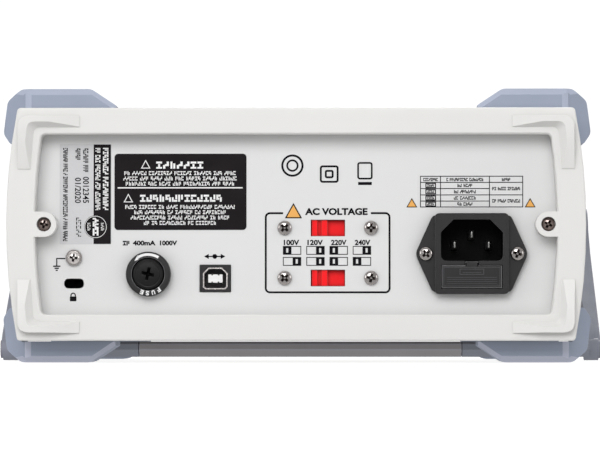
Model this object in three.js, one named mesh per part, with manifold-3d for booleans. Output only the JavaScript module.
// Bench multimeter: a wide low instrument case with corner bumpers, a folding handle,
// a recessed rear panel with its connectors, and a front with display, dial, keys and jacks.
// Millimetres. +Z is up, the front faces -Y and the rear faces +Y. The origin is on the surface
// that the instrument stands on, under the middle of its bounding box.
import * as THREE from 'three';
import { mergeVertices } from 'three/addons/utils/BufferGeometryUtils.js';
import Module from 'manifold-3d';

const wasm = await Module();
wasm.setup();

// ---------------------------------------------------------------- driving dimensions

const GAP = 0.3; // clearance between pieces that rest on or pass through each other
const THROUGH = 1; // how far a cutting tool runs past the face it cuts

// case cross-section: flat top and bottom, sides bulging outwards as circular arcs
const CENTRE_HEIGHT = 60.5; // case centre above the bench
const CASE_HALF_HEIGHT = 51;
const CASE_HALF_WIDTH = 126.8; // at mid-height
const SIDE_RADIUS = 268; // radius of the bulging sides
const WALL = 2.5;

// stations along the depth
const REAR_FOOT_Y = 155; // tips of the rear standing ribs
const REAR_FRAME_Y = 151; // rear face of the white frame
const REAR_PANEL_Y = 141; // outer face of the recessed rear panel
const REAR_FRAME_FRONT_Y = 128; // where the frame meets the case covers
const PANEL_THICKNESS = 2;
const FRONT_FACE_Y = -140; // face of the front bezel
const FRONT_BEZEL_BACK_Y = -116;
const FRONT_PLATE = 3;
const KNOB_FRONT_Y = -155;

// corner bumpers
const BUMPER_HALF_WIDTH = 130.5;
const BUMPER_REAR_Y = 135;
const BUMPER_LENGTH = 34;
const BUMPER_ROUNDING = 1.6;
const BUMPER_END_X = 80;
const BUMPER_FOLD_X = 117.2; // where the end face folds away towards the side
const FRONT_BUMPER_OVERHANG = 6; // how far the front bumpers stand out before the face

// rear opening and panel
const OPENING_HALF_WIDTH = 114.4;
const OPENING_HALF_HEIGHT = 39.5;
const TAB_X = 110.3;
const TAB_RADIUS = 5.5;

// mains inlet
const INLET_X = -77;
const INLET_Z = -12.8;
const INLET_SCREW_PITCH = 40;
const INLET_FLANGE = 2.6;
const INLET_BLOCK = { width: 32.2, height: 35.5, corner: 2, rise: 2 };
const INLET_INNER = { width: 27.8, height: 31.4, depth: 30 };

// other rear connectors
const FUSE_X = 64.9;
const FUSE_Z = -21.7;
const USB_X = 35.6;
const USB_Z = -23.6;
const GROUND_X = 97.8;
const GROUND_Z = -14.5;
const GROUND_HOLE = 1.8; // radius of the hole in the panel and in the washer
const FUSE_BARREL_RADIUS = 7.9;
const USB_HOUSING = { width: 13.3, height: 11.6 };
const LOCK_SLOT = { z: -25.8, length: 8.8, height: 4.4 };
const SCREW_HOLE = 1.9; // radius of the clearance holes for the small screws

// mains voltage selectors
const SELECTOR_X = -13.9;
const SELECTOR_ROWS = { upper: -1.4, lower: -23.4 };
const SELECTOR_WINDOW = { width: 15.1, height: 7.3 };
const SELECTOR_TRAVEL = 7.4;
const SELECTOR_SCREW_PITCH = 38;

// handle
const HANDLE_PIVOT_Y = -84;
const HANDLE_BAR_Y = 21; // folded under the case
const HANDLE_BAR_Z = -55.1;
const HANDLE_OUTER_X = 141.5;
const HANDLE_ARM_THICKNESS = 8;
const HANDLE_GRIP_END_X = 75.8;
const HANDLE_EYE_RADIUS = 16;
const HANDLE_END_RADIUS = 5.2;

// front controls
const DISPLAY = { x: -55, z: 12, width: 104, height: 52 };
const KEY_ROW_Z = -31;
const KEY = { width: 13, height: 7.6, pitch: 18.5, firstX: -72, count: 5 };
const POWER_KEY = { x: -99, size: 12 };
const DIAL_X = 38;
const DIAL_Z = 2;
const JACK_COLUMNS = [84, 105];
const JACK_ROWS = [20, -18];

// inner parts
const BOARD_TOP_Z = -30.2;
const BOARD_THICKNESS = 1.6;

// ---------------------------------------------------------------- solids and placing

// Merges shared corners, drops faces without area and turns a closed mesh's faces outwards.
function solid(geometry) {
  const bare = geometry.index ? geometry.toNonIndexed() : geometry.clone();
  bare.deleteAttribute('normal');
  bare.deleteAttribute('uv');
  const merged = mergeVertices(bare, 1e-4);
  const corners = merged.index.array;
  const points = merged.attributes.position.array;
  const faces = [];
  let volume = 0;
  for (let i = 0; i < corners.length; i += 3) {
    const [a, b, c] = [corners[i], corners[i + 1], corners[i + 2]];
    if (a === b || b === c || c === a) continue;
    faces.push(a, b, c);
    const [p, q, r] = [a, b, c].map((n) => new THREE.Vector3().fromArray(points, n * 3));
    volume += p.dot(q.cross(r));
  }
  if (volume < 0) faces.reverse();
  const mesh = new wasm.Mesh({
    numProp: 3,
    vertProperties: Float32Array.from(points),
    triVerts: Uint32Array.from(faces),
  });
  return new wasm.Manifold(mesh);
}

function geometryOf(body) {
  const mesh = body.getMesh();
  const geometry = new THREE.BufferGeometry();
  geometry.setAttribute('position', new THREE.BufferAttribute(mesh.vertProperties, 3));
  geometry.setIndex(new THREE.BufferAttribute(mesh.triVerts, 1));
  geometry.computeVertexNormals();
  return geometry;
}

function joined(bodies) {
  return bodies.reduce((whole, body) => whole.add(body));
}

function cut(body, tools) {
  return tools.reduce((rest, tool) => rest.subtract(tool), body);
}

// Box between two corners.
function box(low, high) {
  const size = high.map((value, i) => value - low[i]);
  const geometry = new THREE.BoxGeometry(...size);
  geometry.translate(...low.map((value, i) => value + size[i] / 2));
  return solid(geometry);
}

// Cylinder along the depth axis.
function disc(x, z, radius, lowY, highY, segments = 24) {
  const geometry = new THREE.CylinderGeometry(radius, radius, highY - lowY, segments);
  geometry.translate(x, (lowY + highY) / 2, z);
  return solid(geometry);
}

// Cylinder across the case.
function crossDisc(y, z, radius, lowX, highX, segments = 24) {
  const geometry = new THREE.CylinderGeometry(radius, radius, highX - lowX, segments);
  geometry.rotateZ(Math.PI / 2);
  geometry.translate((lowX + highX) / 2, y, z);
  return solid(geometry);
}

function extruded(shape, depth, options) {
  return new THREE.ExtrudeGeometry(shape, {
    depth,
    bevelEnabled: false,
    curveSegments: 4,
    ...options,
  });
}

// Shape drawn in width and height (X, Z), swept along the depth from lowY to highY.
function sweptAlongY(shape, lowY, highY) {
  const geometry = extruded(shape, highY - lowY);
  geometry.rotateX(Math.PI / 2);
  geometry.translate(0, highY, 0);
  return solid(geometry);
}

// Shape drawn in depth and height (Y, Z), swept across from lowX to highX.
function sweptAlongX(shape, lowX, highX) {
  const geometry = extruded(shape, highX - lowX);
  geometry.rotateX(Math.PI / 2);
  geometry.rotateZ(Math.PI / 2);
  geometry.translate(lowX, 0, 0);
  return solid(geometry);
}

// Shape drawn in width and depth (X, Y), swept upwards from lowZ to highZ.
function sweptAlongZ(shape, lowZ, highZ) {
  const geometry = extruded(shape, highZ - lowZ);
  geometry.translate(0, 0, lowZ);
  return solid(geometry);
}

function polygon(points) {
  return new THREE.Shape(points.map(([x, y]) => new THREE.Vector2(x, y)));
}

// Solid through outlines at rising stations: [y, loop] pairs whose loops run anticlockwise in
// width and height and have the same number of corners.
function lofted(stations) {
  const count = stations[0][1].length;
  const corners = stations.flatMap(([y, loop]) => loop.flatMap(([x, z]) => [x, y, z]));
  const flat = (loop) => loop.map(([x, z]) => new THREE.Vector2(x, z));
  const last = (stations.length - 1) * count;
  const faces = [];
  for (const face of THREE.ShapeUtils.triangulateShape(flat(stations[0][1]), [])) faces.push(...face);
  for (const [a, b, c] of THREE.ShapeUtils.triangulateShape(flat(stations.at(-1)[1]), [])) {
    faces.push(last + c, last + b, last + a);
  }
  for (let start = 0; start < last; start += count) {
    for (let i = 0; i < count; i += 1) {
      const j = (i + 1) % count;
      const [a, b, c, d] = [start + i, start + j, start + count + j, start + count + i];
      faces.push(a, c, b, a, d, c);
    }
  }
  const geometry = new THREE.BufferGeometry();
  geometry.setAttribute('position', new THREE.BufferAttribute(Float32Array.from(corners), 3));
  geometry.setIndex(faces);
  return solid(geometry);
}

// Loop of [x, z, radius] corners with each corner of some radius rounded in a few steps.
function rounded(corners, steps = 5) {
  const at = (i) => new THREE.Vector2(...corners[(i + corners.length) % corners.length]);
  return corners.flatMap(([x, z, radius], i) => {
    if (!radius) return [[x, z]];
    const here = new THREE.Vector2(x, z);
    const back = at(i - 1).sub(here).setLength(radius).add(here);
    const on = at(i + 1).sub(here).setLength(radius).add(here);
    const curve = new THREE.QuadraticBezierCurve(back, here, on);
    return curve.getPoints(steps).map((point) => [point.x, point.y]);
  });
}

// Profile of [radius, station] pairs turned about the depth axis through (x, z).
function turned(profile, x, z, segments = 24) {
  const points = profile.map(([radius, station]) => new THREE.Vector2(radius, station));
  const geometry = new THREE.LatheGeometry(points, segments);
  geometry.translate(x, 0, z);
  return solid(geometry);
}

function mirrored(body, axis) {
  const geometry = geometryOf(body);
  const flip = [1, 1, 1];
  flip[axis] = -1;
  geometry.scale(...flip);
  return solid(geometry);
}

function roundedRect(x, z, width, height, radius) {
  const [left, right] = [x - width / 2, x + width / 2];
  const [bottom, top] = [z - height / 2, z + height / 2];
  const shape = new THREE.Shape();
  shape.moveTo(left + radius, bottom);
  shape.lineTo(right - radius, bottom);
  shape.quadraticCurveTo(right, bottom, right, bottom + radius);
  shape.lineTo(right, top - radius);
  shape.quadraticCurveTo(right, top, right - radius, top);
  shape.lineTo(left + radius, top);
  shape.quadraticCurveTo(left, top, left, top - radius);
  shape.lineTo(left, bottom + radius);
  shape.quadraticCurveTo(left, bottom, left + radius, bottom);
  return shape;
}

// Half-width of a barrel-sided outline at a height.
function barrelHalfWidth(halfWidth, z) {
  return halfWidth - SIDE_RADIUS + Math.sqrt(SIDE_RADIUS ** 2 - z ** 2);
}

// Outline with flat top and bottom, arc sides and rounded corners.
function barrel(halfWidth, halfHeight, radius) {
  const arcCentre = halfWidth - SIDE_RADIUS;
  const turn = Math.asin((halfHeight - radius) / SIDE_RADIUS);
  const cornerX = barrelHalfWidth(halfWidth, halfHeight);
  const shape = new THREE.Shape();
  shape.moveTo(-cornerX + radius, -halfHeight);
  shape.lineTo(cornerX - radius, -halfHeight);
  const [arcX, arcZ] = [barrelHalfWidth(halfWidth, halfHeight - radius), halfHeight - radius];
  shape.quadraticCurveTo(cornerX, -halfHeight, arcX, -arcZ);
  shape.absarc(arcCentre, 0, SIDE_RADIUS, -turn, turn, false);
  shape.quadraticCurveTo(cornerX, halfHeight, cornerX - radius, halfHeight);
  shape.lineTo(-cornerX + radius, halfHeight);
  shape.quadraticCurveTo(-cornerX, halfHeight, -arcX, arcZ);
  shape.absarc(-arcCentre, 0, SIDE_RADIUS, Math.PI - turn, Math.PI + turn, false);
  shape.quadraticCurveTo(-cornerX, -halfHeight, -cornerX + radius, -halfHeight);
  return shape;
}

// ---------------------------------------------------------------- finishes

const FINISH = {
  whiteCase: { color: 0xe6e5e1, roughness: 0.5, metalness: 0 },
  greyPanel: { color: 0xd8d9da, roughness: 0.45, metalness: 0 },
  bumper: { color: 0xa3adc2, roughness: 0.6, metalness: 0 },
  handle: { color: 0x737c8d, roughness: 0.55, metalness: 0 },
  blackPlastic: { color: 0x38383a, roughness: 0.45, metalness: 0 },
  redPlastic: { color: 0xd8141f, roughness: 0.4, metalness: 0 },
  whitePlastic: { color: 0xf2f2f0, roughness: 0.4, metalness: 0 },
  steel: { color: 0xb9b6b0, roughness: 0.3, metalness: 1 },
  brass: { color: 0xb89a58, roughness: 0.35, metalness: 1 },
  glass: { color: 0x1c2226, roughness: 0.1, metalness: 0 },
  board: { color: 0x1f5a3a, roughness: 0.6, metalness: 0 },
  iron: { color: 0x5a5550, roughness: 0.5, metalness: 0.6 },
  keyGrey: { color: 0xb4b8be, roughness: 0.55, metalness: 0 },
};

const model = new THREE.Group();
const instrument = new THREE.Group(); // its own origin is the case's centre
instrument.position.z = CENTRE_HEIGHT;
model.add(instrument);

function part(name, body, finish, parent = instrument) {
  const mesh = new THREE.Mesh(geometryOf(body), new THREE.MeshStandardMaterial(FINISH[finish]));
  mesh.name = name;
  parent.add(mesh);
}

// Group whose own origin lies at (x, z) in the case's cross-section.
function groupAt(x, z) {
  const group = new THREE.Group();
  group.position.set(x, 0, z);
  instrument.add(group);
  return group;
}

// ---------------------------------------------------------------- case covers

const COVER_INSET = 0.4; // the covers stand this far inside the frame's outline
const COVER_RADIUS = 4;
const COVER_REAR_Y = REAR_FRAME_FRONT_Y - GAP;
const COVER_FRONT_Y = FRONT_BEZEL_BACK_Y + GAP;
const POST = { x: 100, frontY: -98, rearY: 96, half: 3.5 }; // they carry the main board
const VENT = { count: 9, width: 3.4, length: 34, pitch: 8, rearY: 88 };

function caseTube(lowY, highY) {
  const halfWidth = CASE_HALF_WIDTH - COVER_INSET;
  const halfHeight = CASE_HALF_HEIGHT - COVER_INSET;
  const shape = barrel(halfWidth, halfHeight, COVER_RADIUS);
  shape.holes.push(barrel(halfWidth - WALL, halfHeight - WALL, COVER_RADIUS / 2));
  return sweptAlongY(shape, lowY, highY);
}

function vents(lowZ, highZ) {
  const tools = [];
  for (let i = 0; i < VENT.count; i += 1) {
    const x = (i - (VENT.count - 1) / 2) * VENT.pitch;
    const low = [x - VENT.width / 2, VENT.rearY - VENT.length, lowZ];
    tools.push(box(low, [x + VENT.width / 2, VENT.rearY, highZ]));
  }
  return tools;
}

function caseCovers() {
  const tube = caseTube(COVER_FRONT_Y, COVER_REAR_Y);
  const reach = CASE_HALF_WIDTH + THROUGH;
  const low = [-reach, COVER_FRONT_Y - THROUGH, -CASE_HALF_HEIGHT - THROUGH];
  const high = [reach, COVER_REAR_Y + THROUGH, CASE_HALF_HEIGHT + THROUGH];
  const upper = cut(tube, [box(low, [high[0], high[1], GAP / 2])]);
  const lower = cut(tube, [box([low[0], low[1], -GAP / 2], high)]);
  const roof = CASE_HALF_HEIGHT - COVER_INSET - WALL;
  part('top_case', cut(upper, vents(roof - THROUGH, CASE_HALF_HEIGHT)), 'whiteCase');

  const postTop = BOARD_TOP_Z - BOARD_THICKNESS - GAP;
  const posts = [];
  for (const x of [-POST.x, POST.x]) {
    for (const y of [POST.frontY, POST.rearY]) {
      const foot = [x - POST.half, y - POST.half, -roof - WALL / 2];
      posts.push(box(foot, [x + POST.half, y + POST.half, postTop]));
    }
  }
  const tray = cut(lower, vents(-CASE_HALF_HEIGHT, -roof + THROUGH));
  part('bottom_case', joined([tray, ...posts]), 'whiteCase');
}

// ---------------------------------------------------------------- corner bumpers

// Corners of the bumper at +X and +Z, drawn in width and height: its outer faces, then the inner
// line along the case.
const BUMPER_CORNERS = {
  endFoot: [BUMPER_END_X, 53.2],
  endTop: [BUMPER_END_X + 11, CENTRE_HEIGHT],
  sideTop: [BUMPER_HALF_WIDTH - 8.5, CENTRE_HEIGHT],
  shoulder: [BUMPER_HALF_WIDTH - 2, 55.2],
  hip: [BUMPER_HALF_WIDTH, 41],
  sideFoot: [BUMPER_HALF_WIDTH - 3.2, 36.4],
};

// Chamfers between the outer faces and the rear end, and how far each lies before that end.
const BUMPER_CHAMFERS = [
  { from: 'endFoot', to: 'endTop', width: 2, setBack: 0 },
  { from: 'endTop', to: 'sideTop', width: 2.8, setBack: 0 },
  { from: 'sideTop', to: 'shoulder', width: 1.8, setBack: 3.2 },
];

function bumperShape() {
  const inner = CASE_HALF_HEIGHT + GAP;
  const relief = 0.6;
  const along = (z) => [barrelHalfWidth(CASE_HALF_WIDTH, z) + GAP, z];
  const corner = along(inner);
  const { endFoot, sideFoot, ...rest } = BUMPER_CORNERS;
  const outside = Object.values(rest).map((point) => [...point, BUMPER_ROUNDING]);
  const loop = rounded([endFoot, ...outside, [...sideFoot, BUMPER_ROUNDING / 2], along(36.4)], 4);
  return polygon([
    ...loop,
    along(44),
    along(inner - relief),
    [corner[0] - relief, inner],
    [BUMPER_END_X, inner],
  ]);
}

// Plan of the bumper: its rear end is flat, then folds away towards the case's side.
function bumperPlan(frontY, rearY) {
  const reach = BUMPER_HALF_WIDTH + THROUGH;
  const hem = 1.3;
  const stripe = { width: 2.8, drop: 1.2, step: 0.4 };
  const slope = 0.75;
  const sideY = (x) => rearY - stripe.drop - stripe.step - (x - BUMPER_FOLD_X - stripe.width) * slope;
  const edgeX = BUMPER_HALF_WIDTH - hem;
  return polygon([
    [BUMPER_END_X - THROUGH, frontY],
    [edgeX, frontY],
    [reach, frontY + hem + THROUGH],
    [reach, sideY(edgeX) - hem - 2 * THROUGH],
    [edgeX, sideY(edgeX)],
    [BUMPER_FOLD_X + stripe.width + stripe.step / 2, sideY(BUMPER_FOLD_X + stripe.width)],
    [BUMPER_FOLD_X + stripe.width, rearY - stripe.drop],
    [BUMPER_FOLD_X, rearY],
    [BUMPER_END_X - THROUGH, rearY],
  ]);
}

// Prism that takes the edge between an outer face and the rear end off the bumper.
function bumperChamfer({ from, to, width, setBack }, rearY) {
  const [p, q] = [from, to].map((name) => new THREE.Vector2(...BUMPER_CORNERS[name]));
  const normal = new THREE.Vector2(p.y - q.y, q.x - p.x).normalize();
  const reach = normal.dot(p);
  const end = rearY - setBack;
  const section = polygon([
    [reach - width - THROUGH, end + THROUGH],
    [reach + THROUGH, end - width - THROUGH],
    [reach + THROUGH, end + 2 * THROUGH + setBack],
    [reach - width - THROUGH, end + 2 * THROUGH + setBack],
  ]);
  const geometry = extruded(section, 4 * CASE_HALF_WIDTH);
  geometry.translate(0, 0, -2 * CASE_HALF_WIDTH);
  geometry.rotateY(-normal.angle());
  return solid(geometry);
}

function upperRightBumper(frontY, rearY) {
  const sweep = sweptAlongY(bumperShape(), frontY, rearY);
  const plan = sweptAlongZ(bumperPlan(frontY, rearY), 30, CENTRE_HEIGHT + THROUGH);
  return cut(sweep.intersect(plan), BUMPER_CHAMFERS.map((edge) => bumperChamfer(edge, rearY)));
}

function bumpers() {
  const rear = upperRightBumper(BUMPER_REAR_Y - BUMPER_LENGTH, BUMPER_REAR_Y);
  const overhang = FRONT_FACE_Y - FRONT_BUMPER_OVERHANG;
  const front = mirrored(upperRightBumper(-overhang - BUMPER_LENGTH, -overhang), 1);
  for (const [end, body] of [['rear', rear], ['front', front]]) {
    part(`bumper_${end}_top_right`, body, 'bumper');
    part(`bumper_${end}_top_left`, mirrored(body, 0), 'bumper');
    part(`bumper_${end}_bottom_right`, mirrored(body, 2), 'bumper');
    part(`bumper_${end}_bottom_left`, mirrored(mirrored(body, 2), 0), 'bumper');
  }
}

// ---------------------------------------------------------------- screws

// Pan head screw along the depth axis, its head standing on seatY towards +Y.
function panScrew(x, z, seatY, headRadius, headHeight, shankLength) {
  const shank = headRadius * 0.5;
  const dome = headHeight * 0.55;
  const profile = [
    [0, seatY - shankLength],
    [shank, seatY - shankLength],
    [shank, seatY],
    [headRadius, seatY],
    [headRadius, seatY + dome * 0.6],
    [headRadius * 0.72, seatY + headHeight * 0.88],
    [0, seatY + headHeight],
  ];
  const arm = headRadius * 0.56;
  const slot = headRadius * 0.13;
  const recess = [seatY + headHeight * 0.35, seatY + headHeight + THROUGH];
  return cut(turned(profile, x, z, 16), [
    box([x - arm, recess[0], z - slot], [x + arm, recess[1], z + slot]),
    box([x - slot, recess[0], z - arm], [x + slot, recess[1], z + arm]),
  ]);
}

// ---------------------------------------------------------------- rear frame

// Corners of the standing rib at +X and +Z: its outline where it stands on the frame, and at its
// top, where the inner flank has leant back. Both run from the tip of the leg along the top.
const RIB = {
  base: [
    [94.7, 42.4],
    [114.6, 42.4, 2.8],
    [116, 24.2],
    [121.8, 24.2],
    [121.8, 47.6, 5],
    [94.7, 47.6],
  ],
  top: [
    [94.7, 44.8],
    [117.4, 44.8, 3.2],
    [119.3, 24.2],
    [121.4, 24.2],
    [121.4, 47.3, 4.8],
    [94.7, 47.3],
  ],
  acrossEnd: 94.7,
  acrossRamp: 13.2,
  downEnd: 24.2,
  downRamp: 11.6,
  tipHeight: 0.5,
};
const SIDE_SCREW = { seatY: REAR_FRAME_Y - 3.2, head: 2.9, shank: 16 };

// L-shaped standing rib: it turns the corner in an arc, its inner flank slopes towards the opening,
// and each leg runs out in a ramp.
function standingRib() {
  const [foot, top] = [REAR_FRAME_Y, REAR_FOOT_Y];
  const base = rounded(RIB.base);
  const body = lofted([[foot - THROUGH, base], [foot, base], [top, rounded(RIB.top)]]);
  const tip = foot + RIB.tipHeight;
  const across = polygon([
    [RIB.acrossEnd - THROUGH, tip],
    [RIB.acrossEnd, tip],
    [RIB.acrossEnd + RIB.acrossRamp, top],
    [RIB.acrossEnd + RIB.acrossRamp, top + THROUGH],
    [RIB.acrossEnd - THROUGH, top + THROUGH],
  ]);
  const down = polygon([
    [tip, RIB.downEnd - THROUGH],
    [tip, RIB.downEnd],
    [top, RIB.downEnd + RIB.downRamp],
    [top + THROUGH, RIB.downEnd + RIB.downRamp],
    [top + THROUGH, RIB.downEnd - THROUGH],
  ]);
  const [innerX, outerX] = [RIB.base[1][0], RIB.base[4][0]];
  const [lowZ, highZ] = [RIB.base[1][1], RIB.base[4][1]];
  return cut(body, [
    sweptAlongZ(across, lowZ - THROUGH, highZ + THROUGH),
    sweptAlongX(down, innerX - THROUGH, outerX + THROUGH),
  ]);
}

function rearFrame() {
  const edge = 0.7;
  const outer = barrel(CASE_HALF_WIDTH, CASE_HALF_HEIGHT, 1.5);
  const blank = extruded(outer, REAR_FRAME_Y - REAR_FRAME_FRONT_Y - 2 * edge, {
    bevelEnabled: true,
    bevelThickness: edge,
    bevelSize: edge,
    bevelOffset: -edge,
    bevelSegments: 2,
  });
  blank.rotateX(Math.PI / 2);
  blank.translate(0, REAR_FRAME_Y - edge, 0);
  const openingRadius = 2.2;
  const mouth = (spread) => {
    const [width, height] = [OPENING_HALF_WIDTH + spread, OPENING_HALF_HEIGHT + spread];
    return barrel(width, height, openingRadius + spread);
  };
  const loop = (shape) => shape.getPoints(6).slice(0, -1).map((point) => [point.x, point.y]);
  const bevel = 0.55;
  const flare = lofted([
    [REAR_FRAME_Y - bevel, loop(mouth(0))],
    [REAR_FRAME_Y + THROUGH, loop(mouth(bevel + THROUGH))],
  ]);
  const ledgeY = REAR_PANEL_Y + GAP;
  const wall = WALL + COVER_INSET;
  const pocket = barrel(CASE_HALF_WIDTH - wall, CASE_HALF_HEIGHT - wall, 2);
  let ring = cut(solid(blank), [
    sweptAlongY(mouth(0), ledgeY - THROUGH, REAR_FRAME_Y + THROUGH),
    flare,
    sweptAlongY(pocket, REAR_FRAME_FRONT_Y - THROUGH, ledgeY),
  ]);
  const ribs = standingRib();
  const feet = [ribs, mirrored(ribs, 0), mirrored(ribs, 2), mirrored(mirrored(ribs, 2), 0)];
  const tabs = [];
  const holes = [];
  for (const side of [-1, 1]) {
    const root = side * (OPENING_HALF_WIDTH + 2);
    const [low, high] = [Math.min(root, side * TAB_X), Math.max(root, side * TAB_X)];
    tabs.push(disc(side * TAB_X, 0, TAB_RADIUS, ledgeY, REAR_FRAME_Y));
    tabs.push(box([low, ledgeY, -TAB_RADIUS], [high, REAR_FRAME_Y, TAB_RADIUS]));
    holes.push(disc(side * TAB_X, 0, SIDE_SCREW.head + GAP, SIDE_SCREW.seatY, REAR_FRAME_Y + THROUGH));
    holes.push(disc(side * TAB_X, 0, SIDE_SCREW.head / 2 + GAP, ledgeY - THROUGH, REAR_FRAME_Y));
  }
  ring = cut(joined([ring, ...tabs]), holes);
  part('rear_frame', joined([ring, ...feet]), 'whiteCase');
  for (const [name, side] of [['left', -1], ['right', 1]]) {
    const seat = SIDE_SCREW.seatY + GAP / 2;
    const screw = panScrew(side * TAB_X, 0, seat, SIDE_SCREW.head, 2.2, SIDE_SCREW.shank);
    part(`frame_screw_${name}`, screw, 'steel');
  }
}

// ---------------------------------------------------------------- rear panel

function rearPanel() {
  const [low, high] = [REAR_PANEL_Y - PANEL_THICKNESS, REAR_PANEL_Y];
  const [from, to] = [low - THROUGH, high + THROUGH];
  const plate = sweptAlongY(barrel(OPENING_HALF_WIDTH + 5, OPENING_HALF_HEIGHT + 5, 3), low, high);
  const { z: slotZ, length, height: slotHeight } = LOCK_SLOT;
  const loose = 2 * GAP;
  const inletHole = [INLET_INNER.width + loose, INLET_INNER.height + 0.8];
  const usbHole = [USB_HOUSING.width + loose, USB_HOUSING.height + loose];
  const tools = [
    sweptAlongY(roundedRect(INLET_X, INLET_Z, ...inletHole, 1), from, to),
    disc(FUSE_X, FUSE_Z, FUSE_BARREL_RADIUS + GAP, from, to),
    sweptAlongY(roundedRect(USB_X, USB_Z, ...usbHole, 0.3), from, to),
    disc(GROUND_X, GROUND_Z, GROUND_HOLE, from, to, 16),
    sweptAlongY(roundedRect(GROUND_X, slotZ, length, slotHeight, slotHeight / 2), from, to),
  ];
  for (const side of [-1, 1]) {
    const inletScrewX = INLET_X + (side * INLET_SCREW_PITCH) / 2;
    tools.push(disc(inletScrewX, INLET_Z, SCREW_HOLE, from, to, 16));
    tools.push(disc(side * TAB_X, 0, SIDE_SCREW.head / 2 + GAP, from, to, 16));
  }
  for (const z of Object.values(SELECTOR_ROWS)) {
    const { width, height } = SELECTOR_WINDOW;
    tools.push(sweptAlongY(roundedRect(SELECTOR_X, z, width, height, 0.2), from, to));
    for (const side of [-1, 1]) {
      const screwX = SELECTOR_X + (side * SELECTOR_SCREW_PITCH) / 2;
      tools.push(disc(screwX, z, SCREW_HOLE, from, to, 16));
    }
  }
  part('rear_panel', cut(plate, tools), 'greyPanel');
}

// ---------------------------------------------------------------- mains inlet

const INLET_FACE_Y = REAR_PANEL_Y + GAP + INLET_FLANGE + INLET_BLOCK.rise;
const INLET_CAVITY = { halfWidth: 13.6, low: -3.2, high: 15, floorY: INLET_FACE_Y - 16.5 };
const INLET_DRAWER = { halfWidth: 13.2, low: -15.1, high: -5.2, depth: 24 };
const INLET_TAB = { halfWidth: 2.9, high: -3.5 };
const INLET_PINS = {
  earth: [0, 8.4],
  line: [7.5, 3.9],
  neutral: [-7.5, 3.9],
};
const PIN_HALF = [1, 2]; // across and up

// Flange outline: a long hexagon with rounded corners, its upper and lower edges under the block.
function inletFlangeShape() {
  const [top, side, point] = [16.8, 24.6, 3];
  const corner = { inner: 15.8, apex: 17.2, outer: 17.9, drop: 1.6 };
  const shape = new THREE.Shape();
  shape.moveTo(-corner.inner, -top);
  shape.lineTo(corner.inner, -top);
  shape.quadraticCurveTo(corner.apex, -top, corner.outer, -top + corner.drop);
  shape.lineTo(side - 1.2, -point);
  shape.quadraticCurveTo(side + 0.6, 0, side - 1.2, point);
  shape.lineTo(corner.outer, top - corner.drop);
  shape.quadraticCurveTo(corner.apex, top, corner.inner, top);
  shape.lineTo(-corner.inner, top);
  shape.quadraticCurveTo(-corner.apex, top, -corner.outer, top - corner.drop);
  shape.lineTo(-side + 1.2, point);
  shape.quadraticCurveTo(-side - 0.6, 0, -side + 1.2, -point);
  shape.lineTo(-corner.outer, -top + corner.drop);
  shape.quadraticCurveTo(-corner.apex, -top, -corner.inner, -top);
  return shape;
}

// Socket outline: rectangle with its two upper corners cut off and its lower corners rounded.
function inletCavityShape() {
  const { halfWidth, low, high } = INLET_CAVITY;
  const [chamfer, round] = [5.6, 2.8];
  const shape = new THREE.Shape();
  shape.moveTo(-halfWidth + round, low);
  shape.lineTo(halfWidth - round, low);
  shape.quadraticCurveTo(halfWidth, low, halfWidth, low + round);
  shape.lineTo(halfWidth, high - chamfer);
  shape.lineTo(halfWidth - chamfer, high);
  shape.lineTo(-halfWidth + chamfer, high);
  shape.lineTo(-halfWidth, high - chamfer);
  shape.lineTo(-halfWidth, low + round);
  shape.quadraticCurveTo(-halfWidth, low, -halfWidth + round, low);
  return shape;
}

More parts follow.
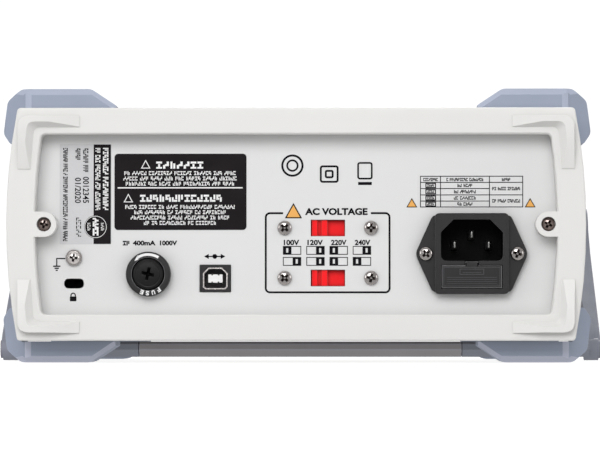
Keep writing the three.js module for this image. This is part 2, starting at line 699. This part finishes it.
function mainsInlet() {
  const seat = REAR_PANEL_Y + GAP;
  const backY = seat - INLET_INNER.depth;
  const flangeTop = seat + INLET_FLANGE;
  const mouth = INLET_FACE_Y + THROUGH;
  const inlet = groupAt(INLET_X, INLET_Z);
  const flange = sweptAlongY(inletFlangeShape(), seat, flangeTop);
  const blockShape = roundedRect(0, 0, INLET_BLOCK.width, INLET_BLOCK.height, INLET_BLOCK.corner);
  const block = sweptAlongY(blockShape, seat, INLET_FACE_Y);
  const innerShape = roundedRect(0, 0, INLET_INNER.width, INLET_INNER.height, 0.6);
  const inner = sweptAlongY(innerShape, backY, seat + THROUGH);
  const tools = [];
  const { halfWidth, low, high, depth } = INLET_DRAWER;
  const drawerBack = INLET_FACE_Y - depth;
  tools.push(sweptAlongY(inletCavityShape(), INLET_CAVITY.floorY, mouth));
  const drawerBay = [-halfWidth - GAP, drawerBack - GAP, low - GAP];
  tools.push(box(drawerBay, [halfWidth + GAP, mouth, high + GAP]));
  const notch = INLET_TAB.halfWidth + GAP;
  tools.push(box([-notch, INLET_FACE_Y - 3.3, high], [notch, mouth, INLET_TAB.high + 1]));
  for (const [x, z] of Object.values(INLET_PINS)) {
    const [w, h] = PIN_HALF.map((value) => value + GAP);
    tools.push(box([x - w, backY - THROUGH, z - h], [x + w, mouth, z + h]));
  }
  for (const side of [-1, 1]) {
    const x = (side * INLET_SCREW_PITCH) / 2;
    tools.push(disc(x, 0, SCREW_HOLE, seat - THROUGH, flangeTop + THROUGH, 16));
  }
  part('inlet_body', cut(joined([flange, block, inner]), tools), 'blackPlastic', inlet);

  const [pinX, pinZ] = PIN_HALF;
  for (const [name, [x, z]] of Object.entries(INLET_PINS)) {
    const tip = INLET_FACE_Y - 2.5;
    const blade = box([x - pinX, backY - 5, z - pinZ], [x + pinX, tip, z + pinZ]);
    part(`inlet_pin_${name}`, blade, 'steel', inlet);
  }

  const face = INLET_FACE_Y - 0.2;
  const tray = box([-halfWidth, drawerBack, low], [halfWidth, face, high]);
  const tabHalf = INLET_TAB.halfWidth;
  const tab = box([-tabHalf, face - 2.6, high - 1], [tabHalf, face, INLET_TAB.high]);
  const fusePocket = box([-11, drawerBack + 2.5, low + 2.2], [11, face - 4, high + THROUGH]);
  const drawer = cut(tray, [fusePocket]).add(tab);
  part('inlet_fuse_drawer', drawer, 'blackPlastic', inlet);

  for (const [name, side] of [['left', -1], ['right', 1]]) {
    const x = (side * INLET_SCREW_PITCH) / 2;
    part(`inlet_screw_${name}`, panScrew(x, 0, flangeTop + GAP / 2, 3.1, 2, 9), 'steel', inlet);
  }
}

// ---------------------------------------------------------------- measuring fuse

function fuseHolder() {
  const seat = REAR_PANEL_Y + GAP;
  const rim = seat + 4.6;
  const [bore, fuseBore, bezel, tailY] = [7.2, 4, 9.85, 98];
  const holder = [
    [fuseBore, tailY],
    [FUSE_BARREL_RADIUS, tailY],
    [FUSE_BARREL_RADIUS, seat],
    [bezel, seat],
    [bezel, seat + 2.2],
    [bezel - 0.95, rim - 0.6],
    [bezel - 1.55, rim],
    [bore, rim],
    [bore, seat - 8],
    [fuseBore, seat - 8],
    [fuseBore, tailY],
  ];
  part('fuse_holder_body', turned(holder, FUSE_X, FUSE_Z), 'blackPlastic');

  const capFront = seat - 7.6;
  const capRear = rim + 1.6;
  const [capRadius, hollow, hollowDepth] = [6.8, 3.5, 6];
  const cap = [
    [0, capFront + hollowDepth],
    [hollow, capFront + hollowDepth],
    [hollow, capFront],
    [capRadius, capFront],
    [capRadius, capRear - 0.9],
    [capRadius - 0.8, capRear],
    [0, capRear],
  ];
  const slot = [capRear - 2, capRear + THROUGH];
  const [long, narrow] = [4.6, 0.75];
  const capBody = cut(turned(cap, FUSE_X, FUSE_Z), [
    box([FUSE_X - long, slot[0], FUSE_Z - narrow], [FUSE_X + long, slot[1], FUSE_Z + narrow]),
    box([FUSE_X - narrow, slot[0], FUSE_Z - long], [FUSE_X + narrow, slot[1], FUSE_Z + long]),
  ]);
  part('fuse_cap', capBody, 'blackPlastic');

  const fuse = { radius: 3.15, low: 104, high: capFront + hollowDepth - GAP };
  const link = [
    [0, fuse.low],
    [fuse.radius, fuse.low],
    [fuse.radius, fuse.low + 6],
    [fuse.radius - 0.3, fuse.low + 6],
    [fuse.radius - 0.3, fuse.high - 6],
    [fuse.radius, fuse.high - 6],
    [fuse.radius, fuse.high],
    [0, fuse.high],
  ];
  part('fuse_link', turned(link, FUSE_X, FUSE_Z, 16), 'brass');
}

// ---------------------------------------------------------------- USB and ground

function usbPort() {
  const face = REAR_PANEL_Y + 0.6;
  const backY = face - 17;
  const floorY = face - 9.5;
  const port = groupAt(USB_X, USB_Z);
  const outline = roundedRect(0, 0, USB_HOUSING.width, USB_HOUSING.height, 0.3);
  const housing = sweptAlongY(outline, backY, face);
  const [halfWidth, halfHeight, chamfer, small] = [5.35, 4.7, 2.4, 0.9];
  const socket = polygon([
    [-halfWidth + small, -halfHeight],
    [halfWidth - small, -halfHeight],
    [halfWidth, -halfHeight + small],
    [halfWidth, halfHeight - chamfer],
    [halfWidth - chamfer, halfHeight],
    [-halfWidth + chamfer, halfHeight],
    [-halfWidth, halfHeight - chamfer],
    [-halfWidth, -halfHeight + small],
  ]);
  const tongue = { width: 6.3, height: 3.6 };
  const tongueHole = roundedRect(0, 0, tongue.width + 2 * GAP, tongue.height + 2 * GAP, 0.1);
  const body = cut(housing, [
    sweptAlongY(socket, floorY, face + THROUGH),
    sweptAlongY(tongueHole, backY - THROUGH, face),
  ]);
  part('usb_body', body, 'blackPlastic', port);
  const blade = sweptAlongY(roundedRect(0, 0, tongue.width, tongue.height, 0.3), backY, face - 1.6);
  part('usb_tongue', blade, 'whitePlastic', port);
}

function groundTerminal() {
  const seat = REAR_PANEL_Y + GAP;
  const washer = { inner: GROUND_HOLE, outer: 3.6, thickness: 0.8 };
  const ring = [
    [washer.inner, seat],
    [washer.outer, seat],
    [washer.outer, seat + washer.thickness],
    [washer.inner, seat + washer.thickness],
    [washer.inner, seat],
  ];
  part('ground_washer', turned(ring, GROUND_X, GROUND_Z, 20), 'steel');
  const head = seat + washer.thickness + GAP / 2;
  part('ground_screw', panScrew(GROUND_X, GROUND_Z, head, 2.8, 2.1, 10), 'steel');
}

// ---------------------------------------------------------------- voltage selectors

const SLIDER_PLAY = 0.2;
const SLIDER_NOSE = { low: 0.3, high: 6.9, grooveLow: 2.7, grooveHigh: 4.7, grooveDepth: 1.7 };
const SLIDER_PLATE_DEPTH = 1.3; // of its face below the switch's flange

// Switch behind the panel: a flanged housing with a pocket that the slider runs in.
function selectorSwitch(z, seat) {
  const pocketHalf = SELECTOR_WINDOW.width / 2 + SELECTOR_TRAVEL + GAP;
  const pocketHeight = SELECTOR_WINDOW.height / 2 - SLIDER_PLAY + GAP;
  const flange = sweptAlongY(roundedRect(SELECTOR_X, z, 45, 12.6, 2), seat - 4, seat);
  const [halfWidth, halfHeight] = [17.6, 6.2];
  const housingLow = [SELECTOR_X - halfWidth, seat - 13, z - halfHeight];
  const housing = box(housingLow, [SELECTOR_X + halfWidth, seat - 1, z + halfHeight]);
  const low = [SELECTOR_X - pocketHalf, seat - 8, z - pocketHeight];
  const tools = [box(low, [SELECTOR_X + pocketHalf, seat + THROUGH, z + pocketHeight])];
  for (const side of [-1, 1]) {
    const x = SELECTOR_X + (side * SELECTOR_SCREW_PITCH) / 2;
    tools.push(disc(x, z, SCREW_HOLE, seat - 6, seat + THROUGH, 16));
  }
  return cut(flange.add(housing), tools);
}

// Slider at rest: its plate closes the window at both ends of the travel, and its nose with the
// finger groove stands up in the window's +X half.
function selectorSlider(z, seat) {
  const half = SELECTOR_WINDOW.height / 2 - SLIDER_PLAY;
  const plateLow = SELECTOR_X - SELECTOR_WINDOW.width / 2 + SLIDER_PLAY;
  const plateHigh = SELECTOR_X + SELECTOR_WINDOW.width / 2 + SELECTOR_TRAVEL - SLIDER_PLAY;
  const plateFace = seat - SLIDER_PLATE_DEPTH;
  const noseFace = REAR_PANEL_Y - 0.7;
  const { low, high, grooveLow, grooveHigh, grooveDepth } = SLIDER_NOSE;
  const plate = box([plateLow, seat - 7.6, z - half], [plateHigh, plateFace, z + half]);
  const noseFoot = [SELECTOR_X + low, plateFace - THROUGH, z - half];
  const nose = box(noseFoot, [SELECTOR_X + high, noseFace, z + half]);
  const groove = box(
    [SELECTOR_X + grooveLow, noseFace - grooveDepth, z - half - THROUGH],
    [SELECTOR_X + grooveHigh, noseFace + THROUGH, z + half + THROUGH],
  );
  return cut(plate.add(nose), [groove]);
}

function voltageSelectors() {
  const seat = REAR_PANEL_Y - PANEL_THICKNESS - GAP;
  for (const [name, z] of Object.entries(SELECTOR_ROWS)) {
    part(`selector_switch_${name}`, selectorSwitch(z, seat), 'blackPlastic');
    part(`selector_slider_${name}`, selectorSlider(z, seat), 'redPlastic');
    for (const [side, way] of [['left', -1], ['right', 1]]) {
      const x = SELECTOR_X + (way * SELECTOR_SCREW_PITCH) / 2;
      const screw = panScrew(x, z, REAR_PANEL_Y + GAP / 2, 3.2, 2, 7);
      part(`selector_screw_${name}_${side}`, screw, 'steel');
    }
  }
}

// ---------------------------------------------------------------- handle

const ARM_INNER_X = HANDLE_OUTER_X - HANDLE_ARM_THICKNESS;
const PIVOT_BASE_OUTER_X = ARM_INNER_X - 0.6;
const PIVOT = { pin: 5, eyeHole: 5.4, cap: 9, capThickness: 2.4, base: 15 };
const BAR = { halfWidth: 9, shoulder: 6.6, foot: 5.2, top: 3.6, kneeLow: -0.2, bottom: -3.6 };
const SPIGOT = { halfWidth: 6, halfHeight: 1.8, length: 12 };

// Section of the cross bar in depth and height: flat, with sides that slope in towards the bench.
function barSection(lowX, highX) {
  const at = ([y, z]) => [HANDLE_BAR_Y + y, HANDLE_BAR_Z + z];
  const { halfWidth, shoulder, foot, top, kneeLow, bottom } = BAR;
  const half = [[shoulder, top], [halfWidth - 0.6, top - 1.2], [halfWidth, kneeLow], [foot, bottom]];
  const other = half.map(([y, z]) => [-y, z]).reverse();
  return sweptAlongX(polygon([...half, ...other].map(at)), lowX, highX);
}

function spigot(lowX, highX, clearance) {
  const halfY = SPIGOT.halfWidth + clearance;
  const halfZ = SPIGOT.halfHeight + clearance;
  return box(
    [lowX, HANDLE_BAR_Y - halfY, HANDLE_BAR_Z - halfZ],
    [highX, HANDLE_BAR_Y + halfY, HANDLE_BAR_Z + halfZ],
  );
}

// Arm on the +X side: eye around the pivot, tapering arm, rounded elbow and half of the cross bar.
function handleArm() {
  const run = new THREE.Vector2(HANDLE_BAR_Y - HANDLE_PIVOT_Y, HANDLE_BAR_Z);
  const length = run.length();
  const along = run.clone().normalize();
  const across = new THREE.Vector2(-along.y, along.x);
  const at = (distance, offset) => [
    HANDLE_PIVOT_Y + along.x * distance + across.x * offset,
    along.y * distance + across.y * offset,
  ];
  const outline = (inset) => polygon([
    at(0, HANDLE_EYE_RADIUS - 1 - inset),
    at(30, 9.5 - inset),
    at(length - 10, 7 - inset),
    at(length - 1, HANDLE_END_RADIUS - inset),
    at(length - 1, -HANDLE_END_RADIUS + inset),
    at(length - 10, -7 + inset),
    at(30, -9.5 + inset),
    at(0, -HANDLE_EYE_RADIUS + 1 + inset),
  ]);
  const middle = ARM_INNER_X + 3;
  const chamfer = 1.6;
  const pieces = [
    sweptAlongX(outline(chamfer), ARM_INNER_X, HANDLE_OUTER_X - chamfer),
    sweptAlongX(outline(0), ARM_INNER_X + 1, middle + 1.6),
    sweptAlongX(outline(2 * chamfer), middle, HANDLE_OUTER_X),
    crossDisc(HANDLE_PIVOT_Y, 0, HANDLE_EYE_RADIUS, ARM_INNER_X, HANDLE_OUTER_X - 1.2, 32),
    crossDisc(HANDLE_PIVOT_Y, 0, HANDLE_EYE_RADIUS - 1.4, ARM_INNER_X, HANDLE_OUTER_X, 32),
    crossDisc(HANDLE_BAR_Y, HANDLE_BAR_Z, HANDLE_END_RADIUS, ARM_INNER_X, HANDLE_OUTER_X - 1.2),
    crossDisc(HANDLE_BAR_Y, HANDLE_BAR_Z, HANDLE_END_RADIUS - 1, ARM_INNER_X, HANDLE_OUTER_X),
    barSection(HANDLE_GRIP_END_X + GAP, ARM_INNER_X + 2),
    spigot(HANDLE_GRIP_END_X - SPIGOT.length, HANDLE_GRIP_END_X + 1, 0),
  ];
  const reach = [ARM_INNER_X - THROUGH, HANDLE_OUTER_X + THROUGH];
  const capPocket = HANDLE_OUTER_X - PIVOT.capThickness;
  return cut(joined(pieces), [
    crossDisc(HANDLE_PIVOT_Y, 0, PIVOT.eyeHole, ...reach),
    crossDisc(HANDLE_PIVOT_Y, 0, PIVOT.cap + GAP, capPocket - GAP, reach[1]),
  ]);
}

// Pivot fixed to the case: base disc against its side, pin through the eye, cap in the eye's pocket.
function handlePivot() {
  const baseX = CASE_HALF_WIDTH + GAP;
  const capX = HANDLE_OUTER_X - PIVOT.capThickness;
  return joined([
    crossDisc(HANDLE_PIVOT_Y, 0, PIVOT.base, baseX, PIVOT_BASE_OUTER_X, 32),
    crossDisc(HANDLE_PIVOT_Y, 0, PIVOT.pin, PIVOT_BASE_OUTER_X - THROUGH, capX + THROUGH),
    crossDisc(HANDLE_PIVOT_Y, 0, PIVOT.cap, capX, HANDLE_OUTER_X - 0.4),
  ]);
}

function handle() {
  const arm = handleArm();
  const pivot = handlePivot();
  part('handle_arm_right', arm, 'handle');
  part('handle_arm_left', mirrored(arm, 0), 'handle');
  part('handle_pivot_right', pivot, 'handle');
  part('handle_pivot_left', mirrored(pivot, 0), 'handle');
  const end = HANDLE_GRIP_END_X;
  const socket = end - SPIGOT.length - GAP;
  const grip = cut(barSection(-end, end), [
    spigot(socket, end + THROUGH, GAP),
    spigot(-end - THROUGH, -socket, GAP),
  ]);
  part('handle_grip', grip, 'handle');
}

// ---------------------------------------------------------------- front

const DIAL = { skirt: 22, body: 18.5, bar: 6, shaft: 3, skirtThickness: 2.6 };
const JACK = { flange: 8.2, body: 6.2, bore: 4.2, floorY: -126, backY: -120 };
const KEY_FACE_Y = FRONT_FACE_Y - 2.4;
const KEY_BACK_Y = -130.4;

function keyPlaces() {
  const places = [];
  for (let i = 0; i < KEY.count; i += 1) places.push(KEY.firstX + i * KEY.pitch);
  return places;
}

function frontBezel() {
  const edge = 1.6;
  const outer = barrel(CASE_HALF_WIDTH, CASE_HALF_HEIGHT, 2.6);
  const blank = extruded(outer, FRONT_BEZEL_BACK_Y - FRONT_FACE_Y - 2 * edge, {
    bevelEnabled: true,
    bevelThickness: edge,
    bevelSize: edge,
    bevelOffset: -edge,
    bevelSegments: 2,
  });
  blank.rotateX(Math.PI / 2);
  blank.translate(0, FRONT_BEZEL_BACK_Y - edge, 0);
  const wall = WALL + COVER_INSET;
  const inside = barrel(CASE_HALF_WIDTH - wall, CASE_HALF_HEIGHT - wall, 2);
  const [from, to] = [FRONT_FACE_Y - THROUGH, FRONT_FACE_Y + FRONT_PLATE + THROUGH];
  const tools = [
    sweptAlongY(inside, FRONT_FACE_Y + FRONT_PLATE, FRONT_BEZEL_BACK_Y + THROUGH),
    sweptAlongY(roundedRect(DISPLAY.x, DISPLAY.z, DISPLAY.width, DISPLAY.height, 3), from, to),
    disc(DIAL_X, DIAL_Z, DIAL.shaft + 1, from, to),
  ];
  const loose = 2 * GAP;
  for (const x of keyPlaces()) {
    const hole = roundedRect(x, KEY_ROW_Z, KEY.width + loose, KEY.height + loose, 1.2);
    tools.push(sweptAlongY(hole, from, to));
  }
  const powerSize = POWER_KEY.size + loose;
  const powerHole = roundedRect(POWER_KEY.x, KEY_ROW_Z, powerSize, powerSize, 1.5);
  tools.push(sweptAlongY(powerHole, from, to));
  for (const x of JACK_COLUMNS) {
    for (const z of JACK_ROWS) tools.push(disc(x, z, JACK.body + GAP, from, to));
  }
  part('front_bezel', cut(solid(blank), tools), 'whiteCase');
}

function frontControls() {
  const fit = 2 * GAP;
  const windowShape = roundedRect(DISPLAY.x, DISPLAY.z, DISPLAY.width - fit, DISPLAY.height - fit, 2.7);
  part('display_window', sweptAlongY(windowShape, FRONT_FACE_Y - 0.4, FRONT_FACE_Y + 2), 'glass');

  for (const [i, x] of keyPlaces().entries()) {
    const key = roundedRect(x, KEY_ROW_Z, KEY.width, KEY.height, 1);
    part(`function_key_${i + 1}`, sweptAlongY(key, KEY_FACE_Y, KEY_BACK_Y), 'keyGrey');
  }
  const power = roundedRect(POWER_KEY.x, KEY_ROW_Z, POWER_KEY.size, POWER_KEY.size, 1.3);
  part('power_button', sweptAlongY(power, KEY_FACE_Y - 1.6, KEY_BACK_Y), 'redPlastic');

  let number = 1;
  for (const z of JACK_ROWS) {
    for (const x of JACK_COLUMNS) {
      const profile = [
        [0, JACK.backY],
        [JACK.body, JACK.backY],
        [JACK.body, FRONT_FACE_Y - GAP],
        [JACK.flange, FRONT_FACE_Y - GAP],
        [JACK.flange, FRONT_FACE_Y - 2],
        [JACK.flange - 0.8, FRONT_FACE_Y - 3],
        [JACK.bore, FRONT_FACE_Y - 3],
        [JACK.bore, JACK.floorY],
        [0, JACK.floorY],
      ];
      part(`input_jack_${number}`, turned(profile, x, z), number === 4 ? 'blackPlastic' : 'redPlastic');
      number += 1;
    }
  }
}

// Range dial: skirt, round body and a grip bar, with a blind hole for its shaft.
function rangeDial() {
  const backY = FRONT_FACE_Y - 0.6;
  const skirtY = backY - DIAL.skirtThickness;
  const profile = [
    [0, backY],
    [DIAL.skirt, backY],
    [DIAL.skirt - 0.8, skirtY],
    [DIAL.body, skirtY - 0.4],
    [DIAL.body - 1, skirtY - 4],
    [0, skirtY - 4],
  ];
  const bar = roundedRect(DIAL_X, DIAL_Z, 2 * DIAL.bar, 2 * DIAL.body - 3, 4);
  const grip = sweptAlongY(bar, KNOB_FRONT_Y, skirtY);
  const socket = disc(DIAL_X, DIAL_Z, DIAL.shaft + GAP, backY - 9, backY + THROUGH);
  const pointer = box(
    [DIAL_X - 0.6, KNOB_FRONT_Y - THROUGH, DIAL_Z + 4],
    [DIAL_X + 0.6, KNOB_FRONT_Y + 0.6, DIAL_Z + DIAL.body],
  );
  const knob = cut(turned(profile, DIAL_X, DIAL_Z, 36).add(grip), [socket, pointer]);
  part('range_dial', knob, 'handle');
  part('dial_shaft', disc(DIAL_X, DIAL_Z, DIAL.shaft, -127, backY - 9 + GAP, 16), 'steel');
}

// ---------------------------------------------------------------- inner parts

const FRONT_BOARD = { low: [-113, -126.6, -43], high: [68, -125, 43] };
const MAIN_BOARD = { halfWidth: 112, frontY: -104, rearY: 136 };
const MODULE = { frontY: -136.6, backY: FRONT_BOARD.low[1] - GAP };
const ROTARY = { radius: 14, frontY: -136, bearingBackY: -126 };
const TRANSFORMER = {
  core: { low: [-90, 20, BOARD_TOP_Z + GAP], high: [-30, 52, 20] },
  winding: { low: [-78, 8, BOARD_TOP_Z + 8], high: [-42, 64, 12] },
};

function innerParts() {
  const { halfWidth, frontY, rearY } = MAIN_BOARD;
  const boardLow = [-halfWidth, frontY, BOARD_TOP_Z - BOARD_THICKNESS];
  part('main_board', box(boardLow, [halfWidth, rearY, BOARD_TOP_Z]), 'board');
  part('front_board', box(FRONT_BOARD.low, FRONT_BOARD.high), 'board');

  const [moduleX, moduleZ] = [DISPLAY.width / 2 + 2, DISPLAY.height / 2 - 1];
  const moduleLow = [DISPLAY.x - moduleX, MODULE.frontY, DISPLAY.z - moduleZ];
  const moduleHigh = [DISPLAY.x + moduleX, MODULE.backY, DISPLAY.z + moduleZ];
  part('display_module', box(moduleLow, moduleHigh), 'keyGrey');

  const switchBody = disc(DIAL_X, DIAL_Z, ROTARY.radius, ROTARY.frontY, MODULE.backY, 16);
  const bearingEnds = [ROTARY.frontY - THROUGH, ROTARY.bearingBackY];
  const bearing = disc(DIAL_X, DIAL_Z, DIAL.shaft + GAP, ...bearingEnds, 16);
  part('rotary_switch', cut(switchBody, [bearing]), 'blackPlastic');

  const core = box(TRANSFORMER.core.low, TRANSFORMER.core.high);
  const winding = box(TRANSFORMER.winding.low, TRANSFORMER.winding.high);
  part('transformer', core.add(winding), 'iron');
}

// ---------------------------------------------------------------- build

caseCovers();
bumpers();
rearFrame();
rearPanel();
mainsInlet();
fuseHolder();
usbPort();
groundTerminal();
voltageSelectors();
handle();
frontBezel();
frontControls();
rangeDial();
innerParts();

export default model;
